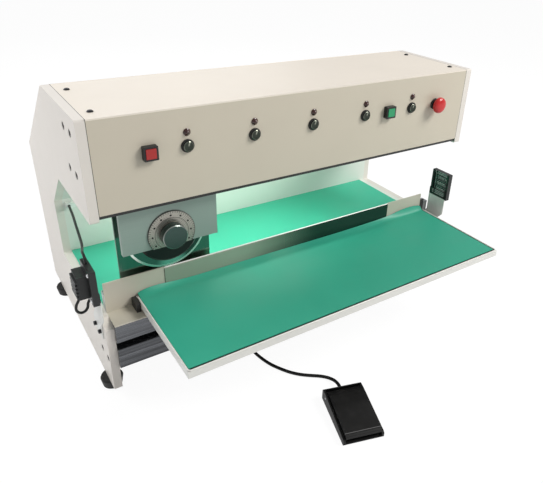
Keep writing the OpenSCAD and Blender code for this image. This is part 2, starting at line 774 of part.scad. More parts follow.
module control_collars() {
    color([0.05, 0.05, 0.05]) at_frame() {
        for (x = button_x) translate([x, 0, button_z]) rotate([90, 0, 0]) rotate_extrude()
            polygon([[0, -20], [7.95, -20], [7.95, 0], [9.1, 0], [9.1, 1.6], [8.3, 3], [7.3, 3], [7.3, 0], [0, 0]]);
        square_collar(red_x);
        square_collar(green_x);
        translate([stop_x, 0, button_z]) rotate([90, 0, 0]) rotate_extrude()
            polygon([[5.1, -8], [0, -8], [0, -22], [7.95, -22], [7.95, 0], [9.5, 0], [9.5, 1.5], [8.5, 3], [5.1, 3]]);
    }
}

// Cap of a round position button, with its dished face
module position_button(i) {
    color([0.10, 0.12, 0.11]) at_frame() translate([button_x[i], 0, button_z]) rotate([90, 0, 0]) rotate_extrude()
        polygon([[0, button_stroke + 0.2], [7.1, button_stroke + 0.2], [7.1, 4.4], [6.4, 5], [5, 4.9], [3, 4.6], [0, 4.5]]);
}

module position_button_1() { position_button(0); }
module position_button_2() { position_button(1); }
module position_button_3() { position_button(2); }
module position_button_4() { position_button(3); }
module position_button_5() { position_button(4); }

module square_cap(x) {
    s = square / 2 - 2.8;
    translate([x, 0, button_z]) deep(-8.8, -2.2 - button_stroke) polygon(rect_points(-s, -s, s, s, 0.8));
}

module red_button() {
    color([0.72, 0.07, 0.05]) at_frame() square_cap(red_x);
}

module green_button() {
    color([0.05, 0.55, 0.28]) at_frame() square_cap(green_x);
}

// Mushroom head on its stem
module stop_button() {
    color([0.78, 0.12, 0.10]) at_frame() translate([stop_x, 0, button_z]) rotate([90, 0, 0]) rotate_extrude($fn = 72)
        polygon([[0, -4], [5.05, -4], [5.05, 7], [11.5, 8.5], [13.5, 10.5], [13.5, 13], [12.6, 15], [10, 16.8],
            [6, 17.7], [0, 18]]);
}

// ---------- safety sensors ----------

// Slim sensor with ribs on its inner face; side is -1 on the left
module sensor(side) {
    x0 = half_w + plate_t + 1.5;
    y1 = sensor_front + sensor_d;
    mirror([side < 0 ? 1 : 0, 0, 0]) {
        difference() {
            block([x0, sensor_front, sensor_bottom], [x0 + sensor_t, y1, sensor_top]);
            block([x0 - 1, sensor_front + 5, sensor_bottom + 5], [x0 + 2, y1 - 5, sensor_top - 5]);
        }
        for (z = [sensor_bottom + 7:4:sensor_top - 9])
            block([x0 + 0.4, sensor_front + 8, z], [x0 + 2.01, y1 - 14, z + 2]);
    }
}

module safety_sensors() {
    color([0.13, 0.14, 0.14]) at_frame() difference() {
        union() {
            sensor(-1);
            sensor(1);
            block([-360, 21, 168], [-346.49, 50, 203]);
            for (z = [170:6:198]) block([-363, 21, z], [-359.99, 50, z + 3.5]);
        }
        rod_z(211, 215, -342.3, 36, 2.3);
        rod_z(167, 171, -356, 38, 2.3);
        rod_z(159, 162.5, -343.5, 41, 2.3);
    }
}

// Plates that carry the sensors on the lower arms
module sensor_brackets() {
    x0 = half_w + plate_t;
    color([0.82, 0.83, 0.82]) at_frame() for (side = [0, 1]) mirror([side, 0, 0]) difference() {
        across(x0, x0 + 1.5) polygon([[26, 88], [66, 88], [66, 110], [52, 126], [52, sensor_bottom + 16],
            [10, sensor_bottom + 16], [10, 130], [26, 112]]);
        for (p = bracket_screws) rod_x(x0 - 1, x0 + 2, p[0], p[1], 2.2);
    }
}

module sensor_leads() {
    color([0.04, 0.04, 0.04]) at_frame() {
        sweep_tube(lead_route, 2, 8);
        sweep_tube(loop_route, 2, 8);
    }
}

// White clip that holds the lead on the throat's back wall
module lead_clip() {
    y1 = throat_d;
    color([0.95, 0.95, 0.93]) at_frame() difference() {
        union() {
            block([-321, y1 - 8, 202], [-311, y1, 213]);
            block([-311.01, y1 - 3, 202], [-292, y1, 209]);
        }
        rod_y(y1 - 9, y1 + 1, -316, 208, 2.3);
    }
}

// ---------- foot switch ----------

module at_pedal() {
    translate(pedal_at) rotate([0, 0, pedal_turn]) children();
}

pin_y = -13;
pin_z = 11;
pin_r = 2;
spring_y = -62;

// Low wedge with a wall on three sides, open in front
module pedal_base() {
    w = pedal_w / 2;
    color([0.07, 0.07, 0.07]) at_pedal() difference() {
        across(-w, w) polygon(rounded([[0, 0, 2], [0, 19, 3], [-14, 19, 8], [-pedal_l + 3, 10, 2],
            [-pedal_l, 8, 1], [-pedal_l, 0, 2]]));
        across(-w + 3.5, w - 3.5) polygon([[-4, 3], [-4, 30], [-pedal_l - 1, 30], [-pedal_l - 1, 3]]);
        rod_x(-w - 1, w + 1, pin_y, pin_z, pin_r);
        rod_y(-8, 1, 0, 8.5, cable_r + 0.3);
    }
}

// Tread that rocks on the pin, with a raised front edge
module pedal_tread() {
    w = pedal_w / 2 - 4;
    color([0.10, 0.10, 0.10]) at_pedal() difference() {
        across(-w, w) polygon(rounded([[-5.5, 7, 2], [-6, 18, 3], [-16, 20.5, 6], [-pedal_l + 8, 16.5, 1],
            [-pedal_l + 4, 16.8, 1], [-pedal_l + 1, 15, 1], [-pedal_l + 1, 9.5, 1], [-pedal_l + 5, 9.5, 1],
            [-pedal_l + 6, 12.5, 1], [-24, 13, 3], [-18, 7, 2]]));
        rod_x(-w - 1, w + 1, pin_y, pin_z, pin_r + run_gap);
    }
}

module pedal_pin() {
    w = pedal_w / 2;
    color([0.60, 0.61, 0.62]) at_pedal() rod_x(-w + 0.2, w - 0.2, pin_y, pin_z, pin_r);
}

// Coil spring that lifts the tread, drawn as its outer sleeve
module pedal_spring() {
    color([0.60, 0.61, 0.62]) at_pedal() difference() {
        rod_z(3, 12.4, 0, spring_y, 5);
        rod_z(2, 13, 0, spring_y, 3.6);
    }
}

module pedal_cable() {
    color([0.04, 0.04, 0.04]) {
        sweep_tube(drop_route, cable_r, 8);
        sweep_tube(floor_route, cable_r, 8);
    }
}

module cable_coil() {
    color([0.04, 0.04, 0.04]) translate(coil_at) rotate_extrude($fn = 64)
        polygon(rect_points(coil_r - 12.4, 0.3, coil_r + 12.4, 13, 2.5));
}

// Round plug screwed on the socket, with its strain relief
module cable_plug() {
    y = plate_d;
    color([0.65, 0.66, 0.67]) at_frame() translate([socket_x, 0, socket_z]) rotate([-90, 0, 0]) rotate_extrude()
        polygon([[0, y - 6], [5.8, y - 6], [5.8, y + 7], [8.3, y + 7], [8.3, y + 2.5], [9.5, y + 2.5],
            [9.5, y + 15], [7.5, y + 18], [5, y + 36], [2.75, y + 36], [2.75, y + 23], [0, y + 23]]);
}

left_side_plate();
right_side_plate();
upper_beam();
lower_beam();
top_cover();
front_panel();
panel_rail();
throat_liner();
rear_cover();
base_plate();
rear_table();
rear_mat();
blade_holder();
straight_blade();
blade_guards();
front_tray();
front_mat();
tray_brackets();
linear_rails();
drive_belt();
drive_motor();
pulley_brackets();
control_board();
power_supply();
power_inlet();
pedal_socket();
feet();
machine_screws();
carriage_screws();
safety_sensors();
sensor_brackets();
sensor_leads();
lead_clip();
indicator_lamps();
control_collars();
red_button();
green_button();
position_button_1();
position_button_2();
position_button_3();
position_button_4();
position_button_5();
stop_button();
carriage_plate();
carriage_bridge();
rail_blocks();
blade_shield();
dial_ring();
dial_knob();
round_blade();
blade_flanges();
drive_pulley();
idler_pulley();
pedal_base();
pedal_tread();
pedal_pin();
pedal_spring();
pedal_cable();
cable_coil();
cable_plug();
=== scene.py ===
"""Dresses the bench machine that parts scored circuit boards, in its own frame and in metres."""

import logging
import math
from dataclasses import dataclass, field
from enum import Enum
from typing import Callable, Sequence

import bmesh
import bpy
import numpy as np
from mathutils import Matrix


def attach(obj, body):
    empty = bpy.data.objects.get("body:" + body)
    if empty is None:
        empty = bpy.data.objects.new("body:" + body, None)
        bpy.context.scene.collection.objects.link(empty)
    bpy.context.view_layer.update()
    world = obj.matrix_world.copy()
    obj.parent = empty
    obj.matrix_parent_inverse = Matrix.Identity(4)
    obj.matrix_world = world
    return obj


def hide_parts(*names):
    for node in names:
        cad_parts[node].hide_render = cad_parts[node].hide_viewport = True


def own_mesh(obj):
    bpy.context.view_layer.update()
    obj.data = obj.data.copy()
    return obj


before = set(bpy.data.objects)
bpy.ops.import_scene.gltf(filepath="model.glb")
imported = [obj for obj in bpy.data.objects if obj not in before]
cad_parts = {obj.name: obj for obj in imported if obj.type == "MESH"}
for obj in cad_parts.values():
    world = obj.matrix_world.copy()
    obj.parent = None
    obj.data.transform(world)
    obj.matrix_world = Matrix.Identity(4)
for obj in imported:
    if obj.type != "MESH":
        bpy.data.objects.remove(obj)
log = logging.getLogger("depaneler")

MM = 0.001
FRONT_Y = -0.190
FOOT_H = 0.018
Colour = tuple[float, float, float]
Point = tuple[float, float, float]


def place(x: float, y: float, z: float) -> Point:
    """Turns a place on the machine, in mm from under the arms' front face, into the frame in metres."""
    return (x * MM, y * MM + FRONT_Y, z * MM + FOOT_H)


# ---------------------------------------------------------------- shader maths


class Value:
    """A number that varies over a surface: the output socket of a node, with the usual operators."""

    def __init__(self, nodes: "Nodes", socket: bpy.types.NodeSocket) -> None:
        """Keeps the socket and the tree that it belongs to."""
        self.nodes = nodes
        self.socket = socket

    def maths(self, operation: str, *operands: "Value | float") -> "Value":
        """Adds one Math node on the operands.

        Args:
            operation: The Math node's operation.
            operands: Its inputs in order.

        Returns:
            The node's result.
        """
        made = self.nodes.node("ShaderNodeMath", {"operation": operation}, dict(enumerate(operands)))
        return Value(self.nodes, made.outputs[0])

    def __add__(self, other: "Value | float") -> "Value":
        """Sum."""
        return self.maths("ADD", self, other)

    __radd__ = __add__

    def __sub__(self, other: "Value | float") -> "Value":
        """Difference."""
        return self.maths("SUBTRACT", self, other)

    def __rsub__(self, other: float) -> "Value":
        """Difference with the number first."""
        return self.maths("SUBTRACT", other, self)

    def __mul__(self, other: "Value | float") -> "Value":
        """Product."""
        return self.maths("MULTIPLY", self, other)

    __rmul__ = __mul__

    def __truediv__(self, other: "Value | float") -> "Value":
        """Quotient."""
        return self.maths("DIVIDE", self, other)

    def __rtruediv__(self, other: float) -> "Value":
        """Quotient with the number on top."""
        return self.maths("DIVIDE", other, self)

    def __pow__(self, power: "Value | float") -> "Value":
        """Power."""
        return self.maths("POWER", self, power)

    def __lt__(self, other: "Value | float") -> "Value":
        """One where smaller, else nought."""
        return self.maths("LESS_THAN", self, other)

    def __gt__(self, other: "Value | float") -> "Value":
        """One where greater, else nought."""
        return self.maths("GREATER_THAN", self, other)

    def __abs__(self) -> "Value":
        """Size without its sign."""
        return self.maths("ABSOLUTE", self)

    def angle(self, other: "Value") -> "Value":
        """Angle in radians of the direction whose sine part is this and whose cosine part is the other."""
        return self.maths("ARCTAN2", self, other)

    def sine(self) -> "Value":
        """Sine of an angle in radians."""
        return self.maths("SINE", self)

    def part(self) -> "Value":
        """Part after the decimal point."""
        return self.maths("FRACT", self)

    def smaller(self, other: "Value | float") -> "Value":
        """The smaller of two."""
        return self.maths("MINIMUM", self, other)

    def larger(self, other: "Value | float") -> "Value":
        """The larger of two."""
        return self.maths("MAXIMUM", self, other)

    def ramp(self, low: float, high: float, to_low: float = 0.0, to_high: float = 1.0) -> "Value":
        """Maps low..high smoothly on to_low..to_high and holds it outside.

        Args:
            low: Value that becomes to_low.
            high: Value that becomes to_high.
            to_low: Result at the low end.
            to_high: Result at the high end.

        Returns:
            The mapped value.
        """
        made = self.nodes.node("ShaderNodeMapRange", {"interpolation_type": "SMOOTHSTEP"},
                               {"Value": self, "From Min": low, "From Max": high, "To Min": to_low,
                                "To Max": to_high})
        return Value(self.nodes, made.outputs[0])


class Nodes:
    """The node tree of one material, with one method that adds any node."""

    def __init__(self, name: str) -> None:
        """Makes an empty material of that name with its output node."""
        self.material = bpy.data.materials.new(name)
        self.material.use_nodes = True
        self.tree = self.material.node_tree
        self.tree.nodes.clear()
        self.out = self.tree.nodes.new("ShaderNodeOutputMaterial")
        self.at = self.node("ShaderNodeTexCoord").outputs["Object"]

    def node(self, kind: str, settings: dict | None = None, inputs: dict | None = None) -> bpy.types.Node:
        """Adds a node, sets its settings and then fills its sockets.

        Args:
            kind: The node's type.
            settings: Properties of the node.
            inputs: Values or links, by the socket's name or number.

        Returns:
            The new node.
        """
        made = self.tree.nodes.new(kind)
        for key, value in (settings or {}).items():
            setattr(made, key, value)
        for key, value in (inputs or {}).items():
            socket = made.inputs[key]
            if isinstance(value, Value):
                value = value.socket
            if isinstance(value, bpy.types.NodeSocket):
                self.tree.links.new(value, socket)
            elif socket.type == "RGBA" and len(value) == 3:
                socket.default_value = (*value, 1.0)
            else:
                socket.default_value = value
        return made

    def axis(self, name: str) -> Value:
        """The surface point's X, Y or Z in metres."""
        if not hasattr(self, "parts"):
            self.parts = self.node("ShaderNodeSeparateXYZ", None, {0: self.at})
        return Value(self, self.parts.outputs[name])

    def stretched(self, scale: Sequence[float]) -> bpy.types.NodeSocket:
        """Object coordinates scaled by a factor along each axis."""
        return self.node("ShaderNodeMapping", None, {"Vector": self.at, "Scale": scale}).outputs[0]

    def noise(self, scale: float, detail: float = 2.0, vector: bpy.types.NodeSocket | None = None) -> Value:
        """Smooth noise from nought to one.

        Args:
            scale: Lumps per metre.
            detail: Octaves.
            vector: Coordinates, or None for Object coordinates.

        Returns:
            The noise's value.
        """
        made = self.node("ShaderNodeTexNoise", None, {"Vector": vector or self.at, "Scale": scale, "Detail": detail})
        return Value(self, made.outputs[0])

    def mix(self, first: "Colour | bpy.types.NodeSocket", second: "Colour | bpy.types.NodeSocket",
            factor: "Value | float") -> bpy.types.NodeSocket:
        """Blends two colours.

        Args:
            first: Colour at factor nought.
            second: Colour at factor one.
            factor: The blend.

        Returns:
            The colour socket.
        """
        made = self.node("ShaderNodeMix", {"data_type": "RGBA"}, {0: factor, 6: first, 7: second})
        return made.outputs[2]

    def bump(self, height: Value, distance: float, strength: float = 1.0) -> bpy.types.NodeSocket:
        """Turns a height into a normal.

        Args:
            height: Height from nought to one.
            distance: What a height of one stands for, in metres.
            strength: How much of it shows.

        Returns:
            The normal socket.
        """
        made = self.node("ShaderNodeBump", None, {"Strength": strength, "Distance": distance, "Height": height})
        return made.outputs[0]

    def finish(self, **inputs: object) -> bpy.types.Material:
        """Closes the tree with a Principled shader.

        Args:
            inputs: The shader's sockets, with underscores for spaces.

        Returns:
            The finished material.
        """
        shader = self.node("ShaderNodeBsdfPrincipled", None, {k.replace("_", " "): v for k, v in inputs.items()})
        self.tree.links.new(shader.outputs[0], self.out.inputs[0])
        return self.material


# ---------------------------------------------------------------- finishes


def shade(colour: Colour, factor: float) -> Colour:
    """A colour made lighter or darker by a factor."""
    return tuple(min(1.0, c * factor) for c in colour)


@dataclass(frozen=True)
class Paint:
    """Powder coat: fine orange peel, a faint drift of tone, and a little dust in the lower gloss."""

    name: str
    colour: Colour
    rough: float = 0.42
    peel: float = 0.00003
    drift: float = 0.04
    seam_x: float | None = None

    def make(self) -> bpy.types.Material:
        """Builds the material, with a dark joint line beyond seam_x on both sides if that is given."""
        n = Nodes(self.name)
        tone = n.noise(9.0, 3.0)
        base = n.mix(shade(self.colour, 1 - self.drift), shade(self.colour, 1 + self.drift), tone)
        if self.seam_x is not None:
            base = n.mix(base, shade(self.colour, 0.16), n.axis("X").__abs__() > self.seam_x)
        peel = n.noise(850.0, 2.0)
        return n.finish(Base_Color=base, Roughness=n.noise(40.0, 4.0) * 0.12 + (self.rough - 0.06),
                        Normal=n.bump(peel, self.peel))


class Lay(Enum):
    """Direction of the marks that grinding or rolling leaves, or of painted highlight streaks: stretch of a noise
    along X, Y and Z.
    """

    ALONG_X = (6.0, 900.0, 900.0)
    ALONG_Z = (900.0, 900.0, 6.0)
    CLOUDY = (60.0, 60.0, 60.0)
    # painted highlight streaks, used on the lower beam
    HIGHLIGHT_STREAKS = (5.0, 130.0, 190.0)


@dataclass(frozen=True)
class Metal:
    """Ground, brushed or anodised metal with straight marks, and a slow change of tone along the part."""

    name: str
    colour: Colour
    rough: float = 0.3
    lay: Lay = Lay.ALONG_X
    depth: float = 0.000012
    metallic: float = 1.0
    contrast: float = 0.09

    def make(self) -> bpy.types.Material:
        """Builds the material."""
        n = Nodes(self.name)
        marks = n.noise(1.0, 4.0, n.stretched(self.lay.value))
        tone = n.noise(5.0, 2.0)
        base = n.mix(shade(self.colour, 1 - self.contrast), shade(self.colour, 1 + self.contrast),
                     (marks * 0.6 + tone * 0.4).ramp(0.3, 0.7))
        return n.finish(Base_Color=base, Metallic=self.metallic,
                        Roughness=marks * 0.16 + tone * 0.08 + (self.rough - 0.12), Normal=n.bump(marks, self.depth))


@dataclass(frozen=True)
class TurnedMetal:
    """Metal turned on a lathe: rings round an axis along Y, from a wave in the distance to it."""

    name: str
    colour: Colour
    centre: Point
    rough: float = 0.25
    rings: float = 1400.0

    def make(self) -> bpy.types.Material:
        """Builds the material."""
        n = Nodes(self.name)
        x, z = n.axis("X") - self.centre[0], n.axis("Z") - self.centre[2]
        radius = (x * x + z * z) ** 0.5
        wave = (radius * (self.rings * 2 * math.pi)).sine() * 0.5 + 0.5
        tone = n.noise(30.0, 3.0)
        base = n.mix(shade(self.colour, 0.88), shade(self.colour, 1.08), wave * 0.5 + tone * 0.5)
        return n.finish(Base_Color=base, Metallic=1.0, Roughness=wave * 0.1 + tone * 0.1 + (self.rough - 0.08),
                        Normal=n.bump(wave, 0.000006))


@dataclass(frozen=True)
class RollingBlade(TurnedMetal):
    """Polished blade face with a painted dark green reflection in sectors round its centre, a painted highlight below
    the centre and a painted highlight on the ground bevel at the rim.
    """

    rim: float = 0.0587

    def make(self) -> bpy.types.Material:
        """Builds the material."""
        n = Nodes(self.name)
        x, z = n.axis("X") - self.centre[0], n.axis("Z") - self.centre[2]
        radius = (x * x + z * z) ** 0.5
        wave = (radius * (self.rings * 2 * math.pi)).sine() * 0.5 + 0.5
        # painted reflection: the face is darkened to a fraction of its colour, lighter and darker in sectors round the
        # centre
        reflection_fan = (x.angle(z) * 2.0).sine() * 0.5 + 0.5
        # painted highlight in the sector below the centre
        down = (x.angle(z * -1.0) - 0.1).__abs__().ramp(0.12, 0.5, 1.0, 0.0)
        face = n.mix(shade(self.colour, 0.14), shade(self.colour, 0.36), reflection_fan * 0.7 + wave * 0.3)
        face = n.mix(face, shade(self.colour, 1.0), down)
        # painted highlight: the ground bevel at the rim is made lighter
        ground = radius > self.rim
        return n.finish(Base_Color=n.mix(face, shade(self.colour, 1.2), ground), Metallic=1.0,
                        Roughness=wave * 0.08 + 0.14 + ground * 0.2, Normal=n.bump(wave, 0.000004))


@dataclass(frozen=True)
class DialScale(TurnedMetal):
    """Turned ring with a black dot every 30 degrees and a fine tick every 6 degrees near its rim."""

    def make(self) -> bpy.types.Material:
        """Builds the material."""
        n = Nodes(self.name)
        x, z = n.axis("X") - self.centre[0], n.axis("Z") - self.centre[2]
        radius = (x * x + z * z) ** 0.5
        turn = x.angle(z) * (0.5 / math.pi) + 1.0
        wave = (radius * (self.rings * 2 * math.pi)).sine() * 0.5 + 0.5
        fine = (((turn * 60.0).part() - 0.5).__abs__() > 0.42) * (radius > 0.0315)
        aside = ((turn * 12.0).part() - 0.5).__abs__() * -1.0 + 0.5
        arc = aside * (2 * math.pi / 12) * radius
        out = radius - 0.0285
        dot = (arc * arc + out * out) < 0.0000022
        groove = ((radius - 0.0248).__abs__() < 0.0004) * 0.6
        marks = fine.larger(dot).larger(groove).larger((radius > 0.0343) * 0.8)
        base = n.mix(shade(self.colour, 0.8), shade(self.colour, 1.15), wave * 0.5 + n.noise(60.0, 3.0) * 0.5)
        return n.finish(Base_Color=n.mix(base, (0.03, 0.03, 0.03), marks), Metallic=0.85,
                        Roughness=wave * 0.1 + marks * 0.2 + (self.rough - 0.05), Normal=n.bump(wave, 0.000006))


@dataclass(frozen=True)
class KnobFinish(TurnedMetal):
    """Black anodised knob with a painted highlight on the bevel round its face."""

    def make(self) -> bpy.types.Material:
        """Builds the material."""
        n = Nodes(self.name)
        x, z = n.axis("X") - self.centre[0], n.axis("Z") - self.centre[2]
        radius = (x * x + z * z) ** 0.5
        # painted highlight on the bevel round the face
        bevel = (radius - 0.0177).__abs__().ramp(0.0, 0.0007, 0.75, 0.0)
        base = n.mix(self.colour, (0.50, 0.52, 0.48), bevel)
        return n.finish(Base_Color=base, Metallic=0.75, Roughness=n.noise(40.0, 2.0) * 0.08 + self.rough)


@dataclass(frozen=True)
class ButtonFace(TurnedMetal):
    """Dark glossy cap of a push button with a painted highlight: a soft streak above its middle and a faint light ring
    at its rim.
    """

    def make(self) -> bpy.types.Material:
        """Builds the material."""
        n = Nodes(self.name)
        x, z = n.axis("X") - self.centre[0], n.axis("Z") - self.centre[2]
        radius = (x * x + z * z) ** 0.5
        # painted highlight: a faint light ring at the rim and a soft streak above the middle
        ring = (radius - 0.0066).__abs__().ramp(0.0, 0.0007, 0.25, 0.0)
        glint = (x - z * 0.25).__abs__().ramp(0.0003, 0.0016, 0.42, 0.0) * (z + 0.0006).ramp(0.0, 0.003)
        base = n.mix(self.colour, (0.62, 0.63, 0.52), ring.larger(glint))
        return n.finish(Base_Color=base, Metallic=0.9, Roughness=n.noise(200.0, 2.0) * 0.1 + self.rough)


@dataclass(frozen=True)
class GroundBar:
    """Polished bar with a painted reflection, light at its left and dark green at its right, a painted highlight along
    its top edge, and fine grinding marks.
    """

    name: str
    left: Colour
    right: Colour

    def make(self) -> bpy.types.Material:
        """Builds the material."""
        n = Nodes(self.name)
        marks = n.noise(1.0, 4.0, n.stretched((6.0, 900.0, 900.0)))
        # painted reflection: blends from the light colour at the left to the dark one at the right
        tone = n.axis("X").ramp(-0.125, 0.06)
        # painted highlight along the top edge
        edge = n.axis("Z") > 0.1866
        base = n.mix(n.mix(self.left, self.right, tone), (0.75, 0.76, 0.72), edge)
        return n.finish(Base_Color=base, Metallic=tone * 0.45 + 0.45, Roughness=marks * 0.12 + edge * 0.15 + 0.12,
                        Normal=n.bump(marks, 0.000005))


@dataclass(frozen=True)
class SensorFace:
    """Black housing whose ribs on the inner faces are pale."""

    name: str
    rib_x: float
    y_range: tuple[float, float]
    pale_below: float = 0.0

    def make(self) -> bpy.types.Material:
        """Builds the material."""
        n = Nodes(self.name)
        x, y, z = n.axis("X").__abs__(), n.axis("Y"), n.axis("Z")
        inner = ((x - self.rib_x).__abs__() < 0.0016) * (z > 0.184)
        bars = ((z * 330.0).part() < 0.55) * (y > self.y_range[0]) * (y < self.y_range[1])
        dots = ((z * 330.0).part() < 0.5) * ((y - self.y_range[1] - 0.005).__abs__() < 0.0012)
        rib = inner * bars.larger(dots)
        worn = rib * n.noise(500.0, 2.0).ramp(0.35, 0.6, 0.35, 1.0)
        base = n.mix((0.016, 0.018, 0.018), (0.60, 0.61, 0.60), worn)
        base = n.mix(base, (0.76, 0.77, 0.74), z < self.pale_below)
        return n.finish(Base_Color=base, Roughness=n.noise(60.0, 2.0) * 0.1 + 0.32, Specular_IOR_Level=0.4,
                        Normal=n.bump(n.noise(1200.0, 2.0), 0.00002))


@dataclass(frozen=True)
class Mat:
    """Anti-static rubber sheet: satin, with a fine leathery grain and soft wear."""

    name: str
    colour: Colour
    rough: float = 0.5

    def make(self) -> bpy.types.Material:
        """Builds the material."""
        n = Nodes(self.name)
        wear = n.noise(14.0, 4.0)
        grain = n.noise(1300.0, 3.0)
        base = n.mix(shade(self.colour, 0.93), shade(self.colour, 1.07), wear)
        return n.finish(Base_Color=base, Roughness=wear.ramp(0.3, 0.7, self.rough - 0.05, self.rough + 0.07),
                        Normal=n.bump(grain, 0.00003))


@dataclass(frozen=True)
class Plastic:
    """Moulded plastic or rubber with a spark-eroded grain."""

    name: str
    colour: Colour
    rough: float = 0.4
    grain: float = 0.00002
    coat: float = 0.0
    specular: float = 0.35

    def make(self) -> bpy.types.Material:
        """Builds the material."""
        n = Nodes(self.name)
        fine = n.noise(1500.0, 2.0)
        tone = n.noise(25.0, 3.0)
        base = n.mix(shade(self.colour, 0.85), shade(self.colour, 1.15), tone)
        return n.finish(Base_Color=base, Roughness=tone * 0.1 + (self.rough - 0.05), Coat_Weight=self.coat,
                        Coat_Roughness=0.08, Specular_IOR_Level=self.specular, Normal=n.bump(fine, self.grain))


@dataclass(frozen=True)
class PedalPlastic(Plastic):
    """The foot switch's plastic, with a painted highlight line on the ridge at the tread's front, random wear, and a
    little lighter towards the front of its treading face.
    """

    back: tuple[float, float] = (-0.038, -0.352)
    turn: float = -17.0
    ridge: float = 0.0888

    def make(self) -> bpy.types.Material:
        """Builds the material."""
        n = Nodes(self.name)
        sine, cosine = math.sin(math.radians(self.turn)), math.cos(math.radians(self.turn))
        along = (n.axis("X") - self.back[0]) * sine - (n.axis("Y") - self.back[1]) * cosine
        # painted highlight line on the ridge at the tread's front
        ridge_highlight = (along - self.ridge).__abs__().ramp(0.0002, 0.0010, 1.0, 0.0) * (n.axis("Z") > 0.0145)
        # random wear, and a little lighter towards the front of the treading face
        worn = n.noise(45.0, 4.0).ramp(0.4, 0.8, 0.0, 0.05) + along.ramp(0.03, 0.05, 0.0, 0.04)
        base = n.mix(self.colour, (0.16, 0.16, 0.16), ridge_highlight.larger(worn))
        return n.finish(Base_Color=base, Roughness=n.noise(25.0, 3.0) * 0.1 + (self.rough - 0.05),
                        Specular_IOR_Level=self.specular, Normal=n.bump(n.noise(900.0, 2.0), self.grain))


@dataclass(frozen=True)
class CircuitBoard:
    """Solder mask over copper tracks: a grid of lines that a noise breaks up."""

    name: str

    def make(self) -> bpy.types.Material:
        """Builds the material."""
        n = Nodes(self.name)
        across = ((n.axis("X") * 300.0).part() - 0.5).__abs__() < 0.14
        up = ((n.axis("Z") * 300.0).part() - 0.5).__abs__() < 0.14
        choose = n.noise(60.0, 0.0).ramp(0.48, 0.52)
        track = across * choose + up * (1 - choose)
        base = n.mix((0.02, 0.16, 0.07), (0.05, 0.33, 0.14), track)
        return n.finish(Base_Color=base, Roughness=0.32 - track * 0.08, Normal=n.bump(track, 0.00003))


# ---------------------------------------------------------------- surfaces


def mesh_object(name: str, points: np.ndarray, faces: np.ndarray, smooth: bool = True) -> bpy.types.Object:
    """Makes an object at the origin from arrays.

    Args:
        name: The object's name.
        points: Vertices as rows, in metres.
        faces: Quads or triangles as rows of vertex numbers.
        smooth: Whether its faces are shaded smooth.

    Returns:
        The object, linked into the scene.
    """
    mesh = bpy.data.meshes.new(name)
    mesh.from_pydata(points.tolist(), [], faces.tolist())
    mesh.polygons.foreach_set("use_smooth", np.full(len(mesh.polygons), smooth))
    mesh.update()
    made = bpy.data.objects.new(name, mesh)
    bpy.context.scene.collection.objects.link(made)
    return made


def grid_faces(rows: int, columns: int, wrap_rows: bool, wrap_columns: bool) -> np.ndarray:
    """Quads of a grid of points numbered row by row.

    Args:
        rows: Points along the first parameter.
        columns: Points along the second parameter.
        wrap_rows: Whether the last row joins the first.
        wrap_columns: Whether the last column joins the first.

    Returns:
        One row of four vertex numbers for each quad.
    """
    i = np.arange(rows if wrap_rows else rows - 1)
    j = np.arange(columns if wrap_columns else columns - 1)
    i, j = (a.ravel() for a in np.meshgrid(i, j, indexing="ij"))
    i1, j1 = (i + 1) % rows, (j + 1) % columns
    return np.column_stack([i * columns + j, i1 * columns + j, i1 * columns + j1, i * columns + j1])


def tidy(piece: bpy.types.Object, crease: float = 35.0) -> bpy.types.Object:
    """Merges doubles, turns every face outwards and keeps edges sharper than an angle sharp.

    Args:
        piece: The mesh object.
        crease: The angle in degrees.

    Returns:
        The same object.
    """
    shape = bmesh.new()
    shape.from_mesh(piece.data)
    bmesh.ops.remove_doubles(shape, verts=shape.verts, dist=1e-7)
    bmesh.ops.recalc_face_normals(shape, faces=shape.faces)
    for edge in shape.edges:
        edge.smooth = len(edge.link_faces) == 2 and edge.calc_face_angle(0.0) < math.radians(crease)
    shape.to_mesh(piece.data)
    shape.free()
    return piece


def turned(name: str, profile: Sequence[tuple[float, float]], centre: Point, sides: int = 64,
           axis: str = "-Y") -> bpy.types.Object:
    """Revolves a profile of (radius, distance) in mm round an axis through centre.

    Args:
        name: The object's name.
        profile: Radius and distance along the axis; it starts and ends on the axis or is closed.
        centre: Where distance nought lies, in metres.
        sides: Steps round the axis.
        axis: Direction of growing distance.

    Returns:
        The surface.
    """
    r, d = np.array(profile, float).T * MM
    turn = np.linspace(0, 2 * np.pi, sides, endpoint=False)
    ring_a, ring_b = np.outer(r, np.cos(turn)), np.outer(r, np.sin(turn))
    along = np.repeat(d[:, None], sides, axis=1)
    sign = -1.0 if axis[0] == "-" else 1.0
    parts = {"X": (sign * along, ring_a, ring_b), "Y": (ring_a, sign * along, ring_b),
             "Z": (ring_a, ring_b, sign * along)}[axis[-1]]
    points = np.stack(parts, axis=-1).reshape(-1, 3) + np.array(centre)
    return tidy(mesh_object(name, points, grid_faces(len(r), sides, False, True)))


def smooth_line(points: Sequence[Point], step: float) -> np.ndarray:
    """Even points on a Catmull-Rom curve through a route.

    Args:
        points: The route's points in metres.
        step: Distance between the points that come back.

    Returns:
        Points as rows.
    """
    p = np.array(points, float)
    p = np.vstack([2 * p[0] - p[1], p, 2 * p[-1] - p[-2]])
    t = np.linspace(0, 1, 12, endpoint=False)[None, :, None]
    a, b, c, d = p[:-3, None], p[1:-2, None], p[2:-1, None], p[3:, None]
    fine = 0.5 * (2 * b + (c - a) * t + (2 * a - 5 * b + 4 * c - d) * t**2 + (3 * b - a - 3 * c + d) * t**3)
    fine = np.vstack([fine.reshape(-1, 3), p[-2]])
    run = np.r_[0, np.cumsum(np.linalg.norm(np.diff(fine, axis=0), axis=1))]
    at = np.linspace(0, run[-1], max(2, round(run[-1] / step) + 1))
    return np.column_stack([np.interp(at, run, fine[:, k]) for k in range(3)])


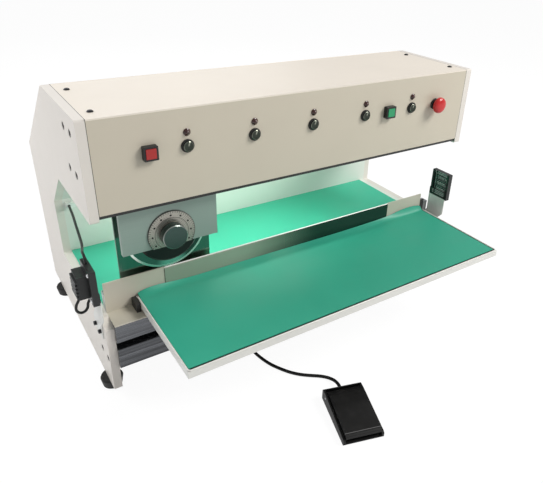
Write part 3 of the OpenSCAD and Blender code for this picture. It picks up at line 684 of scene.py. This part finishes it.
def swept(name: str, line: np.ndarray, radius: float, sides: int = 14) -> bpy.types.Object:
    """A round tube along a line, its rings carried from one point to the next without twist.

    Args:
        name: The object's name.
        line: Points as rows.
        radius: The tube's radius.
        sides: Steps round it.

    Returns:
        The closed tube.
    """
    ahead = np.gradient(line, axis=0)
    ahead /= np.linalg.norm(ahead, axis=1)[:, None]
    side = np.empty_like(line)
    side[0] = np.cross(ahead[0], (0.3, 0.5, 0.8))
    for i in range(1, len(line)):
        side[i] = side[i - 1] - ahead[i] * np.dot(side[i - 1], ahead[i])
        side[i] /= np.linalg.norm(side[i])
    side[0] /= np.linalg.norm(side[0])
    other = np.cross(ahead, side)
    turn = np.linspace(0, 2 * np.pi, sides, endpoint=False)
    rings = line[:, None] + radius * (np.cos(turn)[None, :, None] * side[:, None] + np.sin(turn)[None, :, None] * other[:, None])
    ends = np.concatenate([np.repeat(line[:1, None], sides, axis=1), rings, np.repeat(line[-1:, None], sides, axis=1)])
    return tidy(mesh_object(name, ends.reshape(-1, 3), grid_faces(len(ends), sides, False, True)))


def slab(name: str, top: np.ndarray, bottom: np.ndarray) -> bpy.types.Object:
    """Closes two grids of the same size into one thin solid.

    Args:
        name: The object's name.
        top: Upper points, rows by columns by three.
        bottom: Lower points in the same order.

    Returns:
        The closed surface.
    """
    rows, columns = top.shape[:2]
    count = rows * columns
    flat = grid_faces(rows, columns, False, False)
    number = np.arange(count).reshape(rows, columns)
    rim = np.concatenate([number[0, :-1], number[:-1, -1], number[-1, :0:-1], number[:0:-1, 0]])
    after = np.roll(rim, -1)
    wall = np.column_stack([rim, after, after + count, rim + count])
    points = np.concatenate([top.reshape(-1, 3), bottom.reshape(-1, 3)])
    return tidy(mesh_object(name, points, np.concatenate([flat, flat[:, ::-1] + count, wall])))


def dress(piece: bpy.types.Object, material: bpy.types.Material, body: str | None = None,
          stands_for: Sequence[str] = ()) -> bpy.types.Object:
    """Gives a piece its material, body, slot and the nodes that it stands for.

    Args:
        piece: The object.
        material: Its finish.
        body: The body that it moves with, or None for a CAD node.
        stands_for: CAD nodes that it replaces.

    Returns:
        The same object.
    """
    piece.data.materials.clear()
    piece.data.materials.append(material)
    if body:
        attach(piece, body)
    if stands_for:
        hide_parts(*stands_for)
    return piece


def dress_node(node: str, material: bpy.types.Material) -> None:
    """Puts a material on a CAD node's own slots."""
    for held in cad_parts[node].material_slots:
        held.material = material


# ---------------------------------------------------------------- studio


@dataclass
class Studio:
    """Camera, lamps, world and floor."""

    eye: Point = (-0.4659, -0.8404, 0.6435)
    yaw: float = 35.81
    pitch: float = 28.02
    roll: float = 2.90
    lens: float = 36.68
    shift: tuple[float, float] = (-0.0720, -0.0309)

    def camera(self) -> None:
        """Aims the camera: yaw from +Y towards +X, pitch downwards, then roll."""
        yaw, pitch, roll = (math.radians(a) for a in (self.yaw, self.pitch, self.roll))
        ahead = np.array([math.sin(yaw) * math.cos(pitch), math.cos(yaw) * math.cos(pitch), -math.sin(pitch)])
        level = np.array([math.cos(yaw), -math.sin(yaw), 0.0])
        above = np.cross(level, ahead)
        right = level * math.cos(roll) + above * math.sin(roll)
        up = above * math.cos(roll) - level * math.sin(roll)
        data = bpy.data.cameras.new("camera")
        data.lens, data.sensor_width = self.lens, 36.0
        data.shift_x, data.shift_y = self.shift
        data.clip_start, data.clip_end = 0.02, 60.0
        made = bpy.data.objects.new("camera", data)
        made.matrix_world = Matrix([[right[i], up[i], -ahead[i], self.eye[i]] for i in range(3)] + [[0, 0, 0, 1]])
        bpy.context.scene.collection.objects.link(made)
        bpy.context.scene.camera = made

    def lamp(self, name: str, at: Point, aim: Point, size: float, power: float,
             colour: Colour = (1.0, 1.0, 1.0), deep: float | None = None) -> None:
        """Adds an area lamp that the camera doesn't see.

        Args:
            name: Its name.
            at: Where it stands.
            aim: What it points at.
            size: Its side in metres.
            power: Its power in watts.
            colour: Its colour.
            deep: Its other side in metres, if it isn't square.
        """
        data = bpy.data.lights.new(name, "AREA")
        data.shape, data.size, data.size_y, data.energy, data.color = "RECTANGLE", size, deep or size, power, colour
        made = bpy.data.objects.new(name, data)
        back = np.array(at) - np.array(aim)
        back = back / np.linalg.norm(back)
        side = np.cross((0.0, 0.0, 1.0), back)
        side = side / np.linalg.norm(side)
        up = np.cross(back, side)
        made.matrix_world = Matrix([[side[i], up[i], back[i], at[i]] for i in range(3)] + [[0, 0, 0, 1]])
        made.visible_camera = False
        bpy.context.scene.collection.objects.link(made)

    def world(self) -> None:
        """A grey world for light, white where the camera or glass looks at it and partly white where a mirror looks at
        it.
        """
        world = bpy.data.worlds.new("world")
        bpy.context.scene.world = world
        world.use_nodes = True
        tree = world.node_tree
        tree.nodes.clear()
        path = tree.nodes.new("ShaderNodeLightPath")
        seen = tree.nodes.new("ShaderNodeMath")
        seen.operation = "MAXIMUM"
        tree.links.new(path.outputs["Is Camera Ray"], seen.inputs[0])
        tree.links.new(path.outputs["Is Transmission Ray"], seen.inputs[1])
        both = tree.nodes.new("ShaderNodeMath")
        both.operation = "MULTIPLY_ADD"
        both.use_clamp = True
        tree.links.new(path.outputs["Is Glossy Ray"], both.inputs[0])
        both.inputs[1].default_value = 0.30
        tree.links.new(seen.outputs[0], both.inputs[2])
        dim, white = tree.nodes.new("ShaderNodeBackground"), tree.nodes.new("ShaderNodeBackground")
        dim.inputs[0].default_value, dim.inputs[1].default_value = (0.97, 0.98, 1.0, 1.0), 0.30
        white.inputs[0].default_value, white.inputs[1].default_value = (1.0, 1.0, 1.0, 1.0), 1.0
        mix, out = tree.nodes.new("ShaderNodeMixShader"), tree.nodes.new("ShaderNodeOutputWorld")
        tree.links.new(both.outputs[0], mix.inputs[0])
        tree.links.new(dim.outputs[0], mix.inputs[1])
        tree.links.new(white.outputs[0], mix.inputs[2])
        tree.links.new(mix.outputs[0], out.inputs[0])

    def floor(self) -> None:
        """A pale floor whose lit parts look white and whose shadows stay."""
        n = Nodes("floor")
        diffuse = n.node("ShaderNodeBsdfDiffuse", None, {"Color": (0.86, 0.86, 0.86)})
        glow = n.node("ShaderNodeEmission", None, {"Color": (1.0, 1.0, 1.0), "Strength": 1.07})
        path = n.node("ShaderNodeLightPath")
        seen = Value(n, path.outputs["Is Camera Ray"]).larger(Value(n, path.outputs["Is Glossy Ray"]))
        seen = seen.larger(Value(n, path.outputs["Is Transmission Ray"])) * 0.88
        mixed = n.node("ShaderNodeMixShader", None, {0: seen, 1: diffuse.outputs[0], 2: glow.outputs[0]})
        n.tree.links.new(mixed.outputs[0], n.out.inputs[0])
        half = 6.0
        points = np.array([[-half, -half, 0], [half, -half, 0], [half, half, 0], [-half, half, 0]], float)
        made = mesh_object("floor", points - np.array([0, 0, 0.0002]), np.array([[0, 1, 2, 3]]))
        made.data.materials.append(n.material)

    def build(self) -> None:
        """Sets up everything that isn't the machine."""
        self.camera()
        self.world()
        self.floor()
        self.lamp("key", (1.5, -1.5, 2.0), (0.0, 0.0, 0.2), 1.1, 56.0, (1.0, 0.985, 0.96))
        self.lamp("left_rear", (-1.2, 0.5, 1.1), (-0.33, 0.0, 0.25), 0.8, 9.5)
        self.lamp("behind", (0.6, 2.0, 1.4), (0.0, 0.1, 0.2), 1.4, 6.0)
        self.lamp("throat_light", (-0.08, -0.07, 0.295), (-0.08, 0.02, 0.14), 0.38, 0.60, (0.96, 1.0, 0.95), 0.08)
        bpy.context.scene.view_settings.view_transform = "Standard"


# ---------------------------------------------------------------- cable


@dataclass
class FootSwitchCable:
    """Free cable from the foot switch, under the machine, through a coil and into its plug at the back."""

    radius: float = 0.0027
    coil_centre: tuple[float, float] = (-0.160, 0.283)
    coil_turns: float = 6.5
    floor_route: tuple[Point, ...] = (
        (-38.6, -354, 8.5), (-37, -349, 8.5), (-34, -338, 8), (-33, -326, 5.5), (-37, -314, 3.5),
        (-46, -304, 3), (-58, -295, 3), (-71, -284, 3), (-82, -271, 3), (-91, -256, 3), (-99, -239, 3),
        (-104.5, -219, 3), (-107.5, -197, 3), (-108, -170, 3), (-109, -145, 3), (-111, -120, 3), (-113, -95, 3),
        (-115, -70, 3), (-117, -45, 3), (-118, -20, 3), (-119, 5, 3), (-120, 30, 3), (-121, 55, 3),
        (-121.5, 80, 3), (-122, 105, 3), (-122, 130, 3), (-122, 155, 3), (-122, 180, 3), (-122, 205, 3),
        (-121.5, 225, 3), (-121.2, 245, 3), (-121, 262, 3), (-121.2, 273, 3))
    drop_route: tuple[Point, ...] = (
        (-199, 271.5, 17.5), (-199, 264.5, 24.5), (-199, 262, 34), (-199, 262, 42), (-199, 262, 51),
        (-199, 259.5, 60.5), (-199, 252.5, 67.5), (-199, 243, 70), (-199, 228, 70))

    def coil(self) -> np.ndarray:
        """Two flat layers of turns: the radius shrinks turn by turn, steps up a layer and grows again."""
        turns = np.linspace(0, self.coil_turns, int(self.coil_turns * 24) + 1)
        layer = self.coil_turns / 2 + 1e-4
        number = np.floor(turns / layer)
        along = turns / layer - number
        reach, gap, climb = 38.75, 6.0 * layer, 0.15
        radius = np.where(number % 2 == 0, reach - gap * along, reach - gap * (1 - along))
        step = np.clip((along * layer - layer + climb) / climb, 0, 1)
        height = 3.0 + 5.8 * (number + step * step * (3 - 2 * step))
        angle = 2 * np.pi * turns
        return np.column_stack([self.coil_centre[0] + radius * np.cos(angle) * MM,
                                self.coil_centre[1] + radius * np.sin(angle) * MM, height * MM])

    def build(self) -> None:
        first = np.array(self.floor_route) * MM
        last = np.array(self.drop_route) * MM
        route = np.vstack([first, self.coil(), last])
        data = bpy.data.curves.new("foot_switch_cable", "CURVE")
        data.dimensions, data.bevel_depth, data.bevel_resolution = "3D", self.radius, 5
        data.use_fill_caps = True
        line = data.splines.new("POLY")
        fine = smooth_line([tuple(p) for p in route], 0.0035)
        line.points.add(len(fine) - 1)
        line.points.foreach_set("co", np.column_stack([fine, np.ones(len(fine))]).ravel())
        cable = bpy.data.objects.new("foot_switch_cable", data)
        bpy.context.scene.collection.objects.link(cable)
        dress(cable, Plastic("cable_jacket", (0.006, 0.006, 0.006), 0.45, specular=0.25).make(), "machine",
              ("pedal_cable", "cable_coil"))


# ---------------------------------------------------------------- machine


@dataclass
class Housing:
    """Side plates, covers, beams and feet, which keep their CAD shapes."""

    cream: Colour = (0.86, 0.79, 0.695)
    plate: Colour = (0.79, 0.745, 0.69)
    # painted shade: the front panel's colour is the cream made darker, as the panel faces the key light less than the
    # top
    panel: Colour = (0.62, 0.565, 0.46)
    joint: float = 0.3232

    def build(self) -> None:
        """Dresses the housing's nodes."""
        cream = Paint("cream_powder_coat", self.cream, seam_x=self.joint).make()
        plate = Paint("side_plate_powder_coat", self.plate).make()
        # the front panel gets a darker copy of the cream, as painted shade
        panel = Paint("panel_paint", self.panel, 0.38, seam_x=self.joint).make()
        inside = Paint("throat_paint", (0.78, 0.80, 0.75), 0.4).make()
        dark = Paint("black_paint", (0.018, 0.018, 0.018), 0.4).make()
        # lower beam: strong contrast paints long highlight streaks into its colour
        profile = Metal("dark_profile", (0.115, 0.12, 0.13), 0.26, Lay.HIGHLIGHT_STREAKS, 0.00001, 0.75, 0.55).make()
        steel = Metal("machined_steel", (0.40, 0.41, 0.42), 0.35, Lay.CLOUDY).make()
        bright = Metal("bright_steel", (0.62, 0.63, 0.64), 0.2, Lay.CLOUDY).make()
        for node in ("top_cover", "rear_cover"):
            dress_node(node, cream)
        for node in ("left_side_plate", "right_side_plate"):
            dress_node(node, plate)
        dress_node("front_panel", panel)
        # painted shade: the blade guards are cream, given a darker copy of it for the shade they sit in
        dress_node("blade_guards", Paint("guard_paint_shaded", (0.60, 0.56, 0.47), 0.35).make())
        ribs = (FRONT_Y + 0.014, FRONT_Y + 0.038)
        dress_node("sensor_brackets", SensorFace("sensor_bracket_face", 0.3345, ribs, 0.180).make())
        for node in ("throat_liner", "rear_table"):
            dress_node(node, inside)
        dress_node("front_tray", Paint("tray_paint", (0.80, 0.80, 0.76), 0.35).make())
        for node in ("panel_rail", "tray_brackets", "drive_motor"):
            dress_node(node, dark)
        dress_node("lower_beam", profile)
        for node in ("upper_beam", "blade_holder", "base_plate", "pulley_brackets", "power_supply", "carriage_bridge",
                     "rail_blocks"):
            dress_node(node, steel)
        for node in ("linear_rails", "drive_pulley", "idler_pulley", "pedal_socket", "cable_plug", "pedal_pin",
                     "pedal_spring"):
            dress_node(node, bright)
        rubber = Plastic("black_rubber", (0.02, 0.02, 0.02), 0.6).make()
        for node in ("feet", "drive_belt"):
            dress_node(node, rubber)
        dress_node("control_board", CircuitBoard("circuit_board").make())
        black = Plastic("black_plastic", (0.02, 0.02, 0.02), 0.4).make()
        for node in ("power_inlet", "control_collars", "pedal_cable", "cable_coil", "sensor_leads"):
            dress_node(node, black)
        pedal = PedalPlastic("pedal_plastic", (0.0035, 0.0035, 0.0035), 0.5, 0.00005, 0.0, 0.2).make()
        for node in ("pedal_base", "pedal_tread"):
            dress_node(node, pedal)
        dress_node("safety_sensors", SensorFace("sensor_face", 0.3386, ribs).make())
        screws = Metal("black_oxide", (0.035, 0.035, 0.038), 0.35, Lay.CLOUDY, 0.00001, 0.8).make()
        for node in ("machine_screws", "carriage_screws"):
            dress_node(node, screws)
        dress_node("lead_clip", Plastic("white_plastic", (0.85, 0.85, 0.83), 0.35).make())
        log.info("housing dressed")


@dataclass
class Leads:
    """Leads of the left sensor: one from the clip on the back wall, one in a loop under its connector."""

    radius: float = 0.002
    lead: tuple[Point, ...] = (
        (-316, 246, 208), (-316, 240, 208), (-317, 230, 209), (-319, 210, 211), (-322, 182, 213), (-326, 150, 214),
        (-330, 115, 214), (-333, 92, 215), (-336, 76, 217), (-339, 63, 220), (-341, 54, 223), (-342, 47, 225),
        (-342.3, 41, 224.5), (-342.3, 37.2, 221.5), (-342.3, 36, 217), (-342.3, 36, 212))
    loop: tuple[Point, ...] = (
        (-356, 38, 170), (-356, 38, 165), (-359, 38, 158), (-363, 39, 150), (-364, 40, 142), (-361.5, 41, 136.5),
        (-357, 41, 134), (-352, 41, 135.5), (-348.5, 41, 140), (-347, 41, 147), (-344.2, 41, 152),
        (-343.5, 41, 157), (-343.5, 41, 162))

    def build(self) -> None:
        """Makes both leads as round tubes."""
        jacket = Plastic("lead_jacket", (0.008, 0.008, 0.008), 0.4).make()
        for name, route in (("sensor_lead", self.lead), ("sensor_lead_loop", self.loop)):
            line = smooth_line([place(*p) for p in route], 0.0022)
            dress(swept(name, line, self.radius, 12), jacket, "machine", ("sensor_leads",))
        chrome = Metal("bright_screw", (0.72, 0.73, 0.74), 0.18, Lay.CLOUDY).make()
        head = [(0, 0), (2.9, 0), (2.9, 0.5), (2.3, 1.3), (1.3, 1.7), (1.2, 0.9), (0, 0.9)]
        for name, z in (("sensor_screw_high", 207.0), ("sensor_screw_low", 166.5)):
            piece = turned(name, head, place(-346.5, 14.5, z), 28, "-X")
            dress(piece, chrome, "machine")
        log.info("leads made")


@dataclass
class PedalSpring:
    """Coil spring under the foot switch's tread."""

    foot: Point = (-0.05613, -0.41129, 0.003)
    mean: float = 0.0042
    wire: float = 0.0006
    turns: int = 5
    height: float = 0.0082
    kept: float = 0.62

    def build(self) -> None:
        """Winds the spring and gives it its own mesh."""
        turn = np.linspace(0, 2 * np.pi * self.turns, 24 * self.turns + 1)
        rise = self.wire + self.height * turn / turn[-1]
        line = np.column_stack([self.mean * np.cos(turn), self.mean * np.sin(turn), rise]) + np.array(self.foot)
        steel = Metal("spring_steel", (0.55, 0.56, 0.57), 0.25, Lay.CLOUDY).make()
        spring = dress(swept("foot_switch_spring", line, self.wire, 8), steel, "machine",
                       ("pedal_spring",))
        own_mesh(spring)


@dataclass
class Bed:
    """Mats and blades."""

    front: Colour = (0.032, 0.375, 0.25)
    rear: Colour = (0.052, 0.50, 0.33)
    width: tuple[float, float] = (-280.0, 308.0)
    depth: tuple[float, float] = (-150.0, 40.4)
    level: float = 137.0
    thick: float = 2.0
    bead: float = 1.3
    stations: tuple[Point, ...] = (
        (-280, 20, 138.5), (-270, 22, 142), (-258, 25, 143.7), (-242, 28, 143.7), (-228, 28, 142.5), (-210, 26, 141),
        (-177, 20, 140), (-106, 15, 140), (12, 15, 139.5), (100, 20, 139.5), (180, 26, 141), (217, 29, 143),
        (247, 30, 147.7), (274, 30, 149), (297, 30, 146), (308, 30, 141))

    def mat_top(self, left: float, right: float, front: float, drop: float) -> np.ndarray:
        """Face of the front mat: flat, with a back edge that curls up by amounts that vary along it.

        Args:
            left: Its left edge.
            right: Its right edge.
            front: Its front edge.
            drop: How far it lies under the mat's top.

        Returns:
            Places in metres, rows along X by columns along Y by three.
        """
        stations = smooth_line([(x * 0.1, y, z) for x, y, z in self.stations], 0.4)
        x = np.linspace(left, right, 141)
        start = np.interp(x, stations[:, 0] * 10, stations[:, 1])[:, None]
        rise = np.interp(x, stations[:, 0] * 10, stations[:, 2])[:, None] - self.level
        share = np.concatenate([np.linspace(0, 1, 24, endpoint=False), 1 + np.linspace(0, 1, 17)])[None, :]
        flat, curl = np.clip(share, 0, 1), np.clip(share - 1, 0, 1)
        y = front + (start - front) * flat + (self.depth[1] - start) * curl
        swell = np.exp(-((x[:, None] + 235) / 38) ** 2) * np.exp(-((y - 5) / 16) ** 2)
        z = self.level - drop + rise * curl**2.2 + 0.35 * swell
        return np.stack([np.broadcast_to(x[:, None], y.shape) * MM, y * MM + FRONT_Y, z * MM + FOOT_H], axis=-1)

    def front_mat(self) -> None:
        """Makes the front mat as a green layer on a black one that shows as a line in front and at the right."""
        left, right, front = self.width[0] + 2.7, self.width[1] - 2.7, self.depth[0] + 2.7
        upper = Mat("front_mat_rubber", self.front, 0.44).make()
        face = slab("front_mat_face", self.mat_top(left + 0.2, right - 2.6, front + 2.6, 0.0),
                    self.mat_top(left + 0.2, right - 2.6, front + 2.6, 1.0))
        dress(face, upper, "machine", ("front_mat",))
        black = Plastic("front_mat_base", (0.02, 0.022, 0.02), 0.6).make()
        base = slab("front_mat_base", self.mat_top(left, right, front, 1.1),
                    self.mat_top(left, right, front, self.thick))
        dress(base, black, "machine", ("front_mat",))

    def tray_rim(self) -> None:
        """Makes the rounded bead round the tray's left, front and right edges."""
        left, right = self.width[0] + self.bead, self.width[1] - self.bead
        front, back, z = self.depth[0] + self.bead, 34.0, self.level - self.bead + 0.3
        ease = 4.0
        arc = [(1 - math.cos(a), 1 - math.sin(a)) for a in np.linspace(0, math.pi / 2, 7)]
        corner = [(left + ease * u, front + ease * v) for u, v in arc]
        path = [(left, back)] + [(left, y) for y in np.linspace(20, front + 2 * ease, 12)] + corner
        mirror = [(left + right - x, y) for x, y in reversed(path)]
        middle = [(x, front) for x in np.linspace(left + 2 * ease, right - 2 * ease, 24)]
        line = np.array([place(x, y, z) for x, y in path + middle + mirror])
        paint = Paint("tray_bead_paint", (0.80, 0.79, 0.75), 0.3).make()
        dress(swept("tray_bead", line, self.bead * MM, 12), paint, "machine")

    def build(self) -> None:
        """Dresses the mats and blades."""
        self.front_mat()
        self.tray_rim()
        dress_node("rear_mat", Mat("rear_mat_rubber", self.rear).make())
        # painted reflection: a light colour for the left end and a dark green one for the right end
        dress_node("straight_blade", GroundBar("straight_blade_steel", (0.50, 0.49, 0.41), (0.032, 0.070, 0.056)).make())
        log.info("bed dressed")


@dataclass
class Head:
    """The blade head on its carriage."""

    axis: Point = place(-225, 0, 237)

    def build(self) -> None:
        """Dresses the blade head."""
        dress_node("carriage_plate", Metal("head_anodised", (0.295, 0.375, 0.335), 0.42, Lay.ALONG_X, 0.00001, 0.35, 0.03).make())
        dress_node("dial_ring", DialScale("dial_metal", (0.38, 0.36, 0.32), self.axis, 0.3, 500).make())
        # painted reflection: the black knob is tinted dark green for the green mat that it mirrors
        dress_node("dial_knob", KnobFinish("black_knob", (0.05, 0.085, 0.075), self.axis, 0.22).make())
        dress_node("round_blade", RollingBlade("round_blade_steel", (0.68, 0.74, 0.70), place(-225, 0, 233), 0.15).make())
        dress_node("blade_flanges", Plastic("black_flange", (0.012, 0.012, 0.012), 0.3).make())
        # painted reflection: the steel shield is tinted green for the green mat that it mirrors
        dress_node("blade_shield", Metal("polished_shield_green_reflection", (0.20, 0.29, 0.25), 0.16, Lay.ALONG_Z, 0.000006).make())
        log.info("head dressed")


@dataclass
class Panel:
    """Push buttons, lamps and the stop button."""

    def build(self) -> None:
        """Dresses the controls."""
        for i in range(5):
            face = ButtonFace(f"button_black_{i + 1}", (0.04, 0.048, 0.038), place(-201 + 100 * i, 0, 370), 0.14)
            dress_node(f"position_button_{i + 1}", face.make())
        dress_node("red_button", Plastic("button_red", (0.42, 0.012, 0.010), 0.25, 0.00001, 0.3).make())
        dress_node("green_button", Plastic("button_green", (0.01, 0.33, 0.13), 0.25, 0.00001, 0.3).make())
        dress_node("stop_button", Plastic("stop_red", (0.60, 0.02, 0.02), 0.3, 0.00001, 0.2).make())
        dress_node("indicator_lamps", Plastic("lamp_lens", (0.045, 0.008, 0.005), 0.12, 0.0, 0.6).make())
        log.info("panel dressed")


def main() -> None:
    """Builds the studio, the cable and the machine in order."""
    logging.basicConfig(level=logging.INFO, format="%(message)s")
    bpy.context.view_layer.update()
    Studio().build()
    FootSwitchCable().build()
    for part in (Housing(), Leads(), PedalSpring(), Bed(), Head(), Panel()):
        part.build()


if __name__ == "__main__":
    main()
